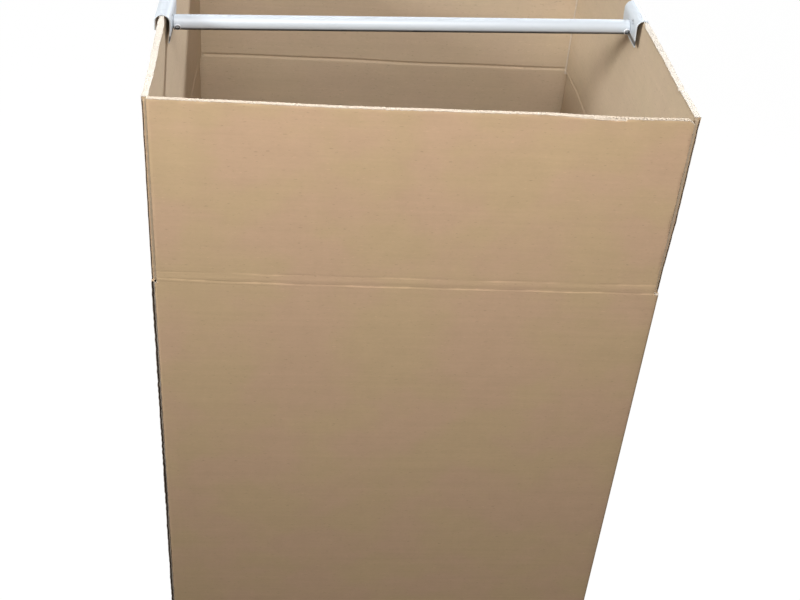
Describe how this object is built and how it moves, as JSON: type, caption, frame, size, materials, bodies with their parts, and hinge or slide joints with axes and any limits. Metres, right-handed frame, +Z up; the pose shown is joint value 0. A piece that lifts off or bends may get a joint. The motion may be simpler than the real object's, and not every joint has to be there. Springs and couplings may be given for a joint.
{
  "type": "wardrobe moving carton with hanging rail",
  "caption": "Tall corrugated wardrobe carton standing open, top flaps upright, with a steel hanging rail hooked over its side flaps.",
  "frame": {"origin": "on the floor under the middle of the carton", "axes": "+Z up; +X to the right, along the rail; -Y towards the front face"},
  "size_m": [0.524, 0.53, 1.396],
  "materials": {
    "kraft_board": "uncoated brown kraft liner",
    "brown_tape": "brown packing tape",
    "white_paint": "white powder coat",
    "rivet_steel": "white painted steel"
  },
  "bodies": {
    "carton": {"carton": "kraft_board", "bottom_tape": "brown_tape", "hanging_tube": "white_paint", "left_bracket": "white_paint", "right_bracket": "white_paint", "left_rivet": "rivet_steel", "right_rivet": "rivet_steel"},
    "front_flap": {"front_flap": "kraft_board"},
    "back_flap": {"back_flap": "kraft_board"}
  },
  "joints": [
    {"name": "front_flap_fold", "type": "hinge", "parent": "carton", "child": "front_flap", "pos_m": [0, -0.265, 1.2], "axis": [-1, 0, 0], "range_deg": [-170, 90]},
    {"name": "back_flap_fold", "type": "hinge", "parent": "carton", "child": "back_flap", "pos_m": [0, 0.265, 1.2], "axis": [1, 0, 0], "range_deg": [-170, 90]}
  ]
}
